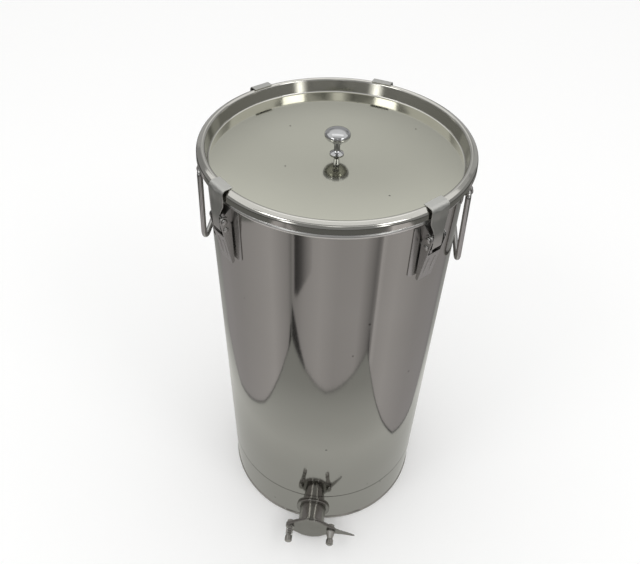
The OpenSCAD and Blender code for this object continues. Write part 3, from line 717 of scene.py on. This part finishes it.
def alongGate(bm, x, y):  # an outline turned round Z is laid along -Y at the gate's height
    turned(bm, math.pi / 2, "X")
    bmesh.ops.translate(bm, verts=bm.verts, vec=(x, y, gateHeight))


def knurlRows(bm, radius, start, end):  # barrel between two heights, its ridges slant from row to row
    count, rows = 2 * roundNut["knurls"], roundNut["rows"]
    rings = []
    for k in range(rows + 1):
        ring = bmesh.ops.create_circle(bm, cap_ends=False, segments=count, radius=radius)["verts"]
        height = start + (end - start) * k / rows
        for n, v in enumerate(ring):
            if (n + k) % 2:
                v.co.xy *= 1 - roundNut["knurl"] / radius
            v.co.z = height
        rings.append(list({e for v in ring for e in v.link_edges}))
    for first, second in zip(rings, rings[1:]):
        bmesh.ops.bridge_loops(bm, edges=first + second)
    return rings


def nextRing(bm, ring, radius, height):  # from a ring on to the next one
    grown = bmesh.ops.extrude_edge_only(bm, edges=ring)["geom"]
    for v in vertsOf(grown):
        v.co.xy *= radius / v.co.xy.length
        v.co.z = height
    return edgesOf(grown)


def makeRoundNut():
    low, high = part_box("pivot_nut")
    length = (high.y - low.y) / mm
    chamfer, radius = roundNut["chamfer"], roundNut["radius"]
    bm = bmesh.new()
    rings = knurlRows(bm, radius, chamfer, length - chamfer)
    for ring, height in ((rings[0], 0), (rings[-1], length)):
        end = nextRing(bm, ring, radius - chamfer, height)
        bmesh.ops.edgeloop_fill(bm, edges=end)
    middle = (low + high) / 2 / mm
    alongGate(bm, middle.x, high.y / mm)
    newPiece("roundNut", bm, "turnedNut", "tank", ["pivot_nut"], weighted=False)


def makeWaistNut():
    low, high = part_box("thumb_nut")
    length = (high.y - low.y) / mm
    cone, coneFrom, chamfer = waistNut["cone"], waistNut["coneFrom"], waistNut["chamfer"]
    foot, waist, head = waistNut["foot"], waistNut["waist"], waistNut["head"]
    coneFoot = foot - waistNut["footEdge"]
    bm = bmesh.new()
    rings = knurlRows(bm, head, cone + waistNut["headFrom"], length - chamfer)
    end = nextRing(bm, rings[-1], head - chamfer, length)
    bmesh.ops.edgeloop_fill(bm, edges=end)
    ring = nextRing(bm, rings[0], head - waistNut["headUnder"], cone + coneFrom)
    for k in range(waistNut["coneSteps"] + 1):
        share = k / waistNut["coneSteps"]
        radius = waist + (coneFoot - waist) * share ** waistNut["hollow"]
        ring = nextRing(bm, ring, radius, coneFrom + cone * (1 - share))
    ring = nextRing(bm, ring, foot, waistNut["footWall"])
    ring = nextRing(bm, ring, coneFoot, 0)
    bmesh.ops.edgeloop_fill(bm, edges=ring)
    middle = (low + high) / 2 / mm
    alongGate(bm, middle.x, high.y / mm)
    newPiece("waistNut", bm, "turnedNut", "thumb_nut", ["thumb_nut"], weighted=False)


def makeSpring():
    low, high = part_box("pivot_spring")
    middle = (low + high) / 2 / mm
    steps = spring["curls"] * spring["stepsPerCurl"]
    bm = bmesh.new()
    wire = bmesh.ops.create_circle(bm, cap_ends=True, segments=spring["sides"],
                                   radius=spring["wire"] / 2)["verts"]
    turned(bm, math.pi / 2, "X")
    bmesh.ops.translate(bm, verts=wire, vec=(spring["radius"], 0, spring["wire"]))
    climb = (0, 0, spring["pitch"] / spring["stepsPerCurl"])
    spun = bmesh.ops.spin(bm, geom=bm.verts[:] + bm.edges[:], cent=(0, 0, 0), axis=(0, 0, 1), dvec=climb,
                          angle=spring["curls"] * fullTurn, steps=steps)
    bmesh.ops.edgeloop_fill(bm, edges=edgesOf(spun["geom_last"]))
    alongGate(bm, middle.x, high.y / mm)
    newPiece("spring", bm, "springWire", "tank", ["pivot_spring"], weighted=False)


makeRoundNut()
makeWaistNut()
makeSpring()
dressedNode("outlet_collar", "castGate", "tank", 0.7)
dressedNode("gate_body", "castGate", "tank", 0.4)
dressedNode("gate_seal", "blackRubber", "tank", 0)
dressedNode("gate_flap", "castGate", "gate_flap", 0.5)
for node in ("pivot_stud", "pivot_washer", "lock_stud", "lock_washer"):
    dressedNode(node, "turnedNut", "tank", 0.25)
dressedNode("mouth_wire", "springWire", "tank", 0)
print("gate made")


# stage: pale floor, soft light, and glowing cards round the tank that only mirrored rays see, painted
# reflections of a room

stage = {"floor": 12.0, "floorColour": (0.985, 0.985, 0.98), "floorRough": 0.9, "floorShine": 0.2, "sky": 1.0,
         "fill": 0.96}
panels = {
    "panelLeft": {"line": ((-0.308, -0.024), (-0.262, -0.200), (-0.246, -0.466)), "height": 0.430,
                  "tones": ((0.0, 0.41), (0.15, 0.44), (0.3, 0.50), (0.6, 0.61), (0.78, 0.50), (0.92, 0.42),
                            (1.0, 0.28))},
    "panelFront": {"line": ((-0.243, -0.470), (0.030, -0.398), (0.316, -0.385)), "height": 0.400,
                   "tones": ((0.0, 0.36), (0.2, 0.50), (0.40, 0.58), (0.56, 0.50), (0.80, 0.52), (0.93, 0.34),
                             (1.0, 0.22))},
    "panelRight": {"line": ((0.320, -0.392), (0.238, -0.085), (0.257, 0.045)), "height": 0.482,
                   "tones": ((0.0, 0.24), (0.09, 0.34), (0.12, 0.66), (0.22, 0.55), (0.45, 0.59), (0.6, 0.52),
                             (0.75, 0.43), (1.0, 0.35))},
    "panelLeftEnd": {"line": ((-0.40, 0.16), (-0.308, -0.024)), "height": 0.43,
                     "tones": ((0.0, 0.34), (1.0, 0.42))},
    "panelRightEnd": {"line": ((0.257, 0.045), (0.33, 0.20)), "height": 0.482,
                      "tones": ((0.0, 0.35), (1.0, 0.24))}}
# dark strip along the foot of each panel: painted shadow in the gap at the board's edge
edgeStrip = {"height": 0.007, "tone": 0.06, "stand": 0.002}
# dark slits and a shadow on the panels, painted shade in gaps by the panels' feet and a painted shadow: each
# lies on one part of a panel's line, and its corners are given by the distance along that part and the
# height, in metres
marks = {
    "slitFront": {"on": ("panelFront", 0), "corners": ((0, 0), (0.150, 0), (0, 0.105)),
                  "tones": ((0, 0.04), (1, 0.05))},
    "slitLeft": {"on": ("panelLeft", 1), "corners": ((0.220, 0), (0.266, 0), (0.266, 0.075)),
                 "tones": ((0, 0.05), (1, 0.05))},
    "slitRight": {"on": ("panelRight", 0), "corners": ((0, 0), (0.030, 0), (0, 0.085)),
                  "tones": ((0, 0.08), (1, 0.10))},
    "shadowFront": {"on": ("panelFront", 0),
                    "corners": ((0.030, 0.150), (0.060, 0.165), (0.170, 0.285), (0.170, 0.352),
                                (0.030, 0.352)),
                    "tones": ((0.0, 0.36), (0.05, 0.30), (0.065, 0.06), (0.11, 0.07), (0.17, 0.13),
                              (0.24, 0.32), (0.30, 0.48))}}
# tone of the mirrored floor by distance from the tank's axis
mirrorBoard = {"reach": 1.6, "lift": 0.0004, "yellow": 0.95,
               "tones": ((0.15, 0.52), (0.22, 0.58), (0.27, 0.67), (0.34, 0.56), (0.41, 0.42), (0.75, 0.26),
                         (1.2, 0.13), (1.6, 0.06))}
room = {"front": -2.2, "side": 2.6, "top": 3.2, "back": 0.45, "wallEnd": 2.6, "sideShare": 0.7,
        "frontTone": 0.28, "sideTone": 0.30,
        "topTones": ((0.0, 0.75), (0.26, 0.75), (0.32, 0.28), (0.55, 0.28), (0.60, 0.95), (1.0, 0.95))}
# glowing card overhead that paints highlights on the rim's crest
crestCard = {"near": 0.45, "far": 1.3, "half": 1.2, "tone": 1.5}
# tone of the card behind the tank by height, falling off sideways
backCard = {"y": 2.6, "half": 4.0, "low": 0.0, "high": 3.6, "middle": -0.16, "fall": 0.3, "strength": 2.0,
            "tones": ((1.5, 0.46), (1.84, 0.48), (2.07, 0.60), (2.14, 0.645), (2.21, 0.75), (2.30, 0.83),
                      (2.5, 0.90), (2.78, 0.95))}
# darker patches before that card, mirrored at the sides of the lid
shades = {"shadeRight": {"line": ((0.70, 2.55), (1.60, 2.55)),
                         "tones": ((0, 0.46), (0.3, 0.22), (0.7, 0.22), (1, 0.46))},
          "shadeLeft": {"line": ((-1.30, 2.55), (-0.45, 2.55)),
                        "tones": ((0, 0.46), (0.3, 0.34), (0.7, 0.34), (1, 0.46))}}
shadeHeights = {"low": 1.5, "high": 2.0}
# glowing pale uprights far in front that paint highlights mirrored in the wall of the lid's recess: line of
# floor points and heights
uprights = {
    "uprightRight": {"line": ((1.40, -2.15), (2.25, -2.15)), "low": 0.62, "high": 1.6, "strength": 3.0},
    "uprightLeft": {"line": ((-1.60, -2.15), (-0.85, -2.15)), "low": 0.62, "high": 1.6, "strength": 3.0},
    "uprightMiddle": {"line": ((-0.45, -2.15), (0.85, -2.15)), "low": 2.4, "high": 3.15, "strength": 1.3}}
uprightTones = ((0.0, 0.09), (0.25, 0.45), (0.4, 1.0), (0.6, 1.0), (0.75, 0.45), (1.0, 0.09))


def glowFinish(name, ramp, strength=1.0):
    finish = Finish(name)
    inputs = {"Base Color": (0, 0, 0, 1), "Roughness": 1.0, "Specular IOR Level": 0.0,
              "Emission Color": ramp(finish), "Emission Strength": strength}
    return finish.surface(inputs)


def evenTone(tone, blush=0.0):
    return lambda finish: (tone * (1 + blush), tone * (1 - blush / 2), tone * (1 - blush / 2), 1)


def tonesAlong(tones, ends, blush=0.035):  # tones that change from one end of a panel to the other
    (x0, y0), (x1, y1) = ends
    length = (x1 - x0) ** 2 + (y1 - y0) ** 2

    def ramp(finish):
        x, y = finish.axis("X"), finish.axis("Y")
        share = (x - x0) * ((x1 - x0) / length) + (y - y0) * ((y1 - y0) / length)
        stops = [(at, evenTone(tone, blush)(finish)[:3]) for at, tone in tones]
        return finish.node("ShaderNodeValToRGB", {"stops": stops}, {"Fac": share})

    return ramp


def boardTone(finish):  # paler by the tank, darker far off
    far = finish.node("ShaderNodeVectorMath", {"operation": "LENGTH"},
                      {0: finish.node("ShaderNodeTexCoord", out="Object")}, out="Value")
    reach = mirrorBoard["reach"]
    stops = [(at / reach, (tone, tone, mirrorBoard["yellow"] * tone)) for at, tone in mirrorBoard["tones"]]
    return finish.node("ShaderNodeValToRGB", {"stops": stops}, {"Fac": far * (1 / reach)})


def backTone(finish):
    aside = finish.axis("X") - backCard["middle"]
    height = finish.axis("Z") - aside * aside * backCard["fall"]
    stops = [(at / backCard["high"], (tone / backCard["strength"],) * 3) for at, tone in backCard["tones"]]
    return finish.node("ShaderNodeValToRGB", {"stops": stops}, {"Fac": height * (1 / backCard["high"])})


def stagePlane(name, sheets, material, onlyMirrored=True):
    bm = bmesh.new()
    for corners in sheets:
        bm.faces.new([bm.verts.new(c) for c in corners])
    mesh = bpy.data.meshes.new(name)
    bm.to_mesh(mesh)
    bm.free()
    mesh.materials.append(material)
    plane = bpy.data.objects.new(name, mesh)
    scene.collection.objects.link(plane)
    if onlyMirrored:
        plane.visible_camera = False
        plane.visible_diffuse = False
        plane.visible_shadow = False
        plane.visible_transmission = False


def upright(line, low, high):  # standing sheets along a line of floor points
    return [[(x0, y0, low), (x1, y1, low), (x1, y1, high), (x0, y0, high)]
            for (x0, y0), (x1, y1) in zip(line, line[1:])]


def towardsTank(point, stand):
    return point - Vector((point.x, point.y, 0)).normalized() * stand


def makeFloor():
    half = stage["floor"] / 2
    inputs = {"Base Color": (*stage["floorColour"], 1), "Roughness": stage["floorRough"],
              "Specular IOR Level": stage["floorShine"]}
    floor = Finish("paleFloor").surface(inputs)
    square = [(-half, -half), (half, -half), (half, half), (-half, half)]
    stagePlane("floor", [[(x, y, 0) for x, y in square]], floor, False)
    stagePlane("mirrorBoard", [[(x, y, mirrorBoard["lift"]) for x, y in square]],
               glowFinish("mirrorBoard", boardTone))


def makePanels():
    for name, panel in panels.items():
        line = panel["line"]
        finish = glowFinish(name, tonesAlong(panel["tones"], (line[0], line[-1])))
        stagePlane(name, upright(line, 0, panel["height"]), finish)
        strips = [[towardsTank(Vector(c), edgeStrip["stand"]) for c in sheet]
                  for sheet in upright(line, 0, edgeStrip["height"])]
        stagePlane(name + ".edge", strips, glowFinish(name + ".edge", evenTone(edgeStrip["tone"])))
    for name, mark in marks.items():
        panel, part = mark["on"]
        line = panels[panel]["line"]
        start = Vector((*line[part], 0))
        run = (Vector((*line[part + 1], 0)) - start).normalized()
        corners = [towardsTank(start + run * along + Vector((0, 0, high)), 2 * edgeStrip["stand"])
                   for along, high in mark["corners"]]
        stagePlane(name, [corners], glowFinish(name, tonesAlong(mark["tones"], (line[0], line[-1]))))


def makeRoom():
    front, side, top, back = (room[k] for k in ("front", "side", "top", "back"))
    stagePlane("roomFront", upright(((-side, front), (side, front)), 0, top),
               glowFinish("roomFront", evenTone(room["frontTone"])))
    for name, x in (("roomLeft", -side), ("roomRight", side)):
        stagePlane(name, upright(((x, front), (x, room["wallEnd"])), 0, room["sideShare"] * top),
                   glowFinish(name, evenTone(room["sideTone"])))
    stagePlane("roomTop", [[(-side, front, top), (side, front, top), (side, back, top), (-side, back, top)]],
               glowFinish("roomTop", tonesAlong(room["topTones"], ((0, front), (0, back)), 0)))
    near, far, half = crestCard["near"], crestCard["far"], crestCard["half"]
    stagePlane("crestCard", [[(-half, near, top), (half, near, top), (half, far, top), (-half, far, top)]],
               glowFinish("crestCard", evenTone(crestCard["tone"])))
    for name, card in uprights.items():
        tone = glowFinish(name, tonesAlong(uprightTones, card["line"], 0), card["strength"])
        stagePlane(name, upright(card["line"], card["low"], card["high"]), tone)
    for name, card in shades.items():
        stagePlane(name, upright(card["line"], shadeHeights["low"], shadeHeights["high"]),
                   glowFinish(name, tonesAlong(card["tones"], card["line"], 0)))
    half, behind = backCard["half"], backCard["y"]
    stagePlane("backCard", upright(((-half, behind), (half, behind)), backCard["low"], backCard["high"]),
               glowFinish("backCard", backTone, backCard["strength"]))


def makeWorld():
    world = bpy.data.worlds.new("studio")
    scene.world = world
    world.use_nodes = True
    tree = world.node_tree
    tree.nodes.clear()
    path = tree.nodes.new("ShaderNodeLightPath")
    seen = tree.nodes.new("ShaderNodeMath")
    seen.operation = "MAXIMUM"
    tree.links.new(path.outputs["Is Camera Ray"], seen.inputs[0])
    tree.links.new(path.outputs["Is Glossy Ray"], seen.inputs[1])
    level = tree.nodes.new("ShaderNodeMapRange")
    tree.links.new(seen.outputs[0], level.inputs["Value"])
    level.inputs["To Min"].default_value = stage["fill"]
    level.inputs["To Max"].default_value = stage["sky"]
    light = tree.nodes.new("ShaderNodeBackground")
    light.inputs["Color"].default_value = (1, 1, 1, 1)
    tree.links.new(level.outputs[0], light.inputs["Strength"])
    out = tree.nodes.new("ShaderNodeOutputWorld")
    tree.links.new(light.outputs[0], out.inputs["Surface"])


softBoxes = {"softLeft": {"from": (-1.3, -1.2, 2.2), "at": (0, 0, 0.4), "size": 0.7, "power": 5},
             "softRight": {"from": (1.45, -1.05, 2.2), "at": (0, 0, 0.4), "size": 0.7, "power": 5}}


def makeLights():
    for name, box in softBoxes.items():
        lamp = bpy.data.lights.new(name, "AREA")
        lamp.energy = box["power"]
        lamp.size = box["size"]
        light = bpy.data.objects.new(name, lamp)
        light.location = box["from"]
        light.rotation_mode = "QUATERNION"
        light.rotation_quaternion = (Vector(box["at"]) - Vector(box["from"])).to_track_quat("-Z", "Y")
        scene.collection.objects.link(light)


makeFloor()
makePanels()
makeRoom()
makeWorld()
makeLights()
scene.view_settings.view_transform = "Standard"
print("stage made")
